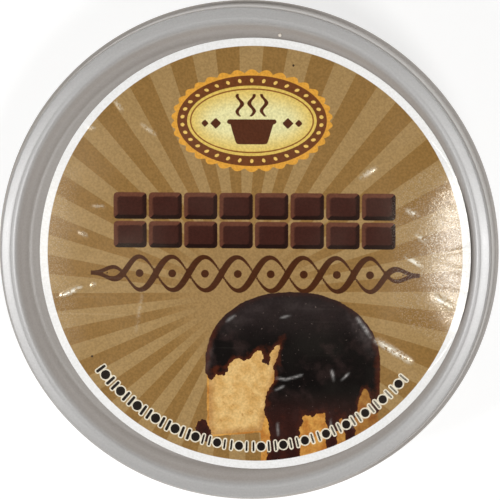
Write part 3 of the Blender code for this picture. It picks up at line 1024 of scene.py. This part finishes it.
def printed_label():
    """Coated paper: the inks one over the other, each up to its edge, then the paper's grain,
    white painted highlights along its creases and where it is strained, and a varnish that
    glitters where its ripple is coarse."""
    material, tree, shader, place = new_material("label_paper")
    colour = bar_over(tree, seal_over(tree, sunburst_ink(tree)))
    colour = over(tree, colour, "twine", TWINE_BROWN)
    colour = pudding_over(tree, place, colour)
    colour = over(tree, colour, "beads", CREAM, -BEAD_BORDER)
    colour = over(tree, colour, "beads", BEAD_BLACK)
    colour = over(tree, colour, "spots", SPOT_BROWN)
    fibre = ramp(tree, noise(tree, place, 1900.0, 3.0), 0.3, 0.7)
    colour = blend(tree, 1.0, colour, blend(tree, fibre, GRAIN_DARK, GRAIN_LIGHT), "MULTIPLY")
    colour = over(tree, blend(tree, fibre, PAPER_DIM, PAPER_BRIGHT), "print_edge", colour)
    tree.links.new(painted_glints(tree, place, colour), shader.inputs["Base Color"])
    scuffs = effect(tree, SCUFFS, place)
    rough = ramp(tree, noise(tree, place, 60.0, 3.0), 0.3, 0.7, 0.11, 0.16)
    rough = maths(tree, "ADD", rough, ramp(tree, field(tree, "strain"), 0.0, 1.0, 0.0, 0.09))
    rough = maths(tree, "ADD", rough, maths(tree, "MULTIPLY", scuffs, 0.04))
    tree.links.new(rough, shader.inputs["Roughness"])
    ripple = ramp(tree, field(tree, "strain"), 0.0, 1.0, FLAT_RIPPLE, STRAINED_RIPPLE)
    grain = effect(tree, FINE_GRAIN, place, Scale=2600.0, Depth=ripple)
    bump = node(tree, "ShaderNodeBump", {"Height": grain, "Distance": 1.0, "Strength": 1.0})
    tree.links.new(bump.outputs[0], shader.inputs["Normal"])
    lifted = ramp(tree, field(tree, "strain"), 0.1, 1.0, 0.0, 0.95)
    inked = ramp(tree, field(tree, "print_edge"), -0.1, 0.1, 0.2, 1.0)
    tree.links.new(maths(tree, "MULTIPLY", lifted, inked), shader.inputs["Coat Weight"])
    shader.inputs["Coat Roughness"].default_value = 0.3
    shader.inputs["Specular Tint"].default_value = VARNISH_TINT
    return material


label = add_piece("label_sheet", label_points, label_faces, printed_label())
label.data.set_sharp_from_angle(angle=math.radians(50))
for name, values in fields.items():
    bare = 0.0 if name in SHADED else UNPRINTED
    attribute = label.data.attributes.new(name, "FLOAT", "POINT")
    attribute.data.foreach_set("value", np.where(printed, values, bare).astype(np.float32))
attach(label, "root")
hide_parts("label")

# ------------------------------------------------------------------ the table and the studio
# The pack stands on a plain pale table under soft light, with a small bright softbox on either
# side, and the camera looks down on it.
FLOOR_HALF = 1.5
CAMERA_AWAY = 0.55
CAMERA_TILT = math.radians(7.5)  # from straight above
CAMERA_SIDE = math.radians(45)  # the side that it leans to, from +X
CAMERA_AIM = (0.84 * MM, 0.48 * MM, PACK_HEIGHT - 8.6 * MM)
LENS = 164.1
SOFTBOXES = ((-0.228, -0.057, 0.64), (0.118, -0.057, 0.65))
SOFTBOX_SIZE = 0.07
SOFTBOX_POWER = 1.17
FLOOR_DIM = ink(190, 190, 189)
FLOOR_BRIGHT = ink(194, 194, 193)
FLOOR_GLOW = 0.61  # so that it comes out nearly white

corners = [(-FLOOR_HALF, -FLOOR_HALF, 0), (FLOOR_HALF, -FLOOR_HALF, 0)]
corners += [(FLOOR_HALF, FLOOR_HALF, 0), (-FLOOR_HALF, FLOOR_HALF, 0)]
floor_paint, floor_tree, floor_shader, floor_place = new_material("pale_floor")
cloudy = ramp(floor_tree, noise(floor_tree, floor_place, 3.0), 0.3, 0.7)
pale = blend(floor_tree, cloudy, FLOOR_DIM, FLOOR_BRIGHT)
floor_tree.links.new(pale, floor_shader.inputs["Base Color"])
floor_shader.inputs["Roughness"].default_value = 0.8
floor_shader.inputs["Emission Color"].default_value = (1.0, 1.0, 1.0, 1.0)
floor_shader.inputs["Emission Strength"].default_value = FLOOR_GLOW
floor = add_piece("pale_floor", corners, [(0, 1, 2, 3)], floor_paint)

scene = bpy.context.scene
scene.view_settings.view_transform = "Standard"

# The room is bright all round and dark overhead.
WALL_TOP = 0.45  # heights on the sphere of directions, from 0 at the sides to 1 overhead
CEILING_START = 0.9
WALL_LIGHT = 0.87
CEILING_LIGHT = 0.02
world = bpy.data.worlds.new("soft_room")
world.use_nodes = True
room = world.node_tree
direction = node(room, "ShaderNodeTexCoord").outputs["Generated"]
rising = node(room, "ShaderNodeSeparateXYZ", {0: direction}).outputs["Z"]
room_light = ramp(room, rising, WALL_TOP, CEILING_START, WALL_LIGHT, CEILING_LIGHT)
room.nodes["Background"].inputs["Color"].default_value = (1.0, 1.0, 1.0, 1.0)
room.links.new(room_light, room.nodes["Background"].inputs["Strength"])
scene.world = world


def add_light(name, place, size, power):
    """A square area light that faces the lid's middle."""
    lamp = bpy.data.lights.new(name, "AREA")
    lamp.size, lamp.energy = size, power
    light = bpy.data.objects.new(name, lamp)
    light.location = place
    aim = Vector((0, 0, PACK_HEIGHT)) - Vector(place)
    light.rotation_euler = aim.to_track_quat("-Z", "Y").to_euler()
    scene.collection.objects.link(light)


for softbox_place in SOFTBOXES:
    add_light("softbox", softbox_place, SOFTBOX_SIZE, SOFTBOX_POWER)

camera = bpy.data.objects.new("camera", bpy.data.cameras.new("camera"))
camera.data.lens = LENS
camera.data.sensor_width = 36.0
camera.data.clip_start, camera.data.clip_end = 0.01, 20.0
# The camera's three axes, with +Y kept upright in its picture.
lean_x = math.sin(CAMERA_TILT) * math.cos(CAMERA_SIDE)
lean_y = math.sin(CAMERA_TILT) * math.sin(CAMERA_SIDE)
backward = Vector((lean_x, lean_y, math.cos(CAMERA_TILT)))
upward_axis = (Vector((0, 1, 0)) - backward * backward.y).normalized()
sideways_axis = upward_axis.cross(backward)
camera_turn = Matrix((sideways_axis, upward_axis, backward)).transposed()
camera_place = Matrix.Translation(Vector(CAMERA_AIM) + backward * CAMERA_AWAY)
camera.matrix_world = camera_place @ camera_turn.to_4x4()
scene.collection.objects.link(camera)
scene.camera = camera
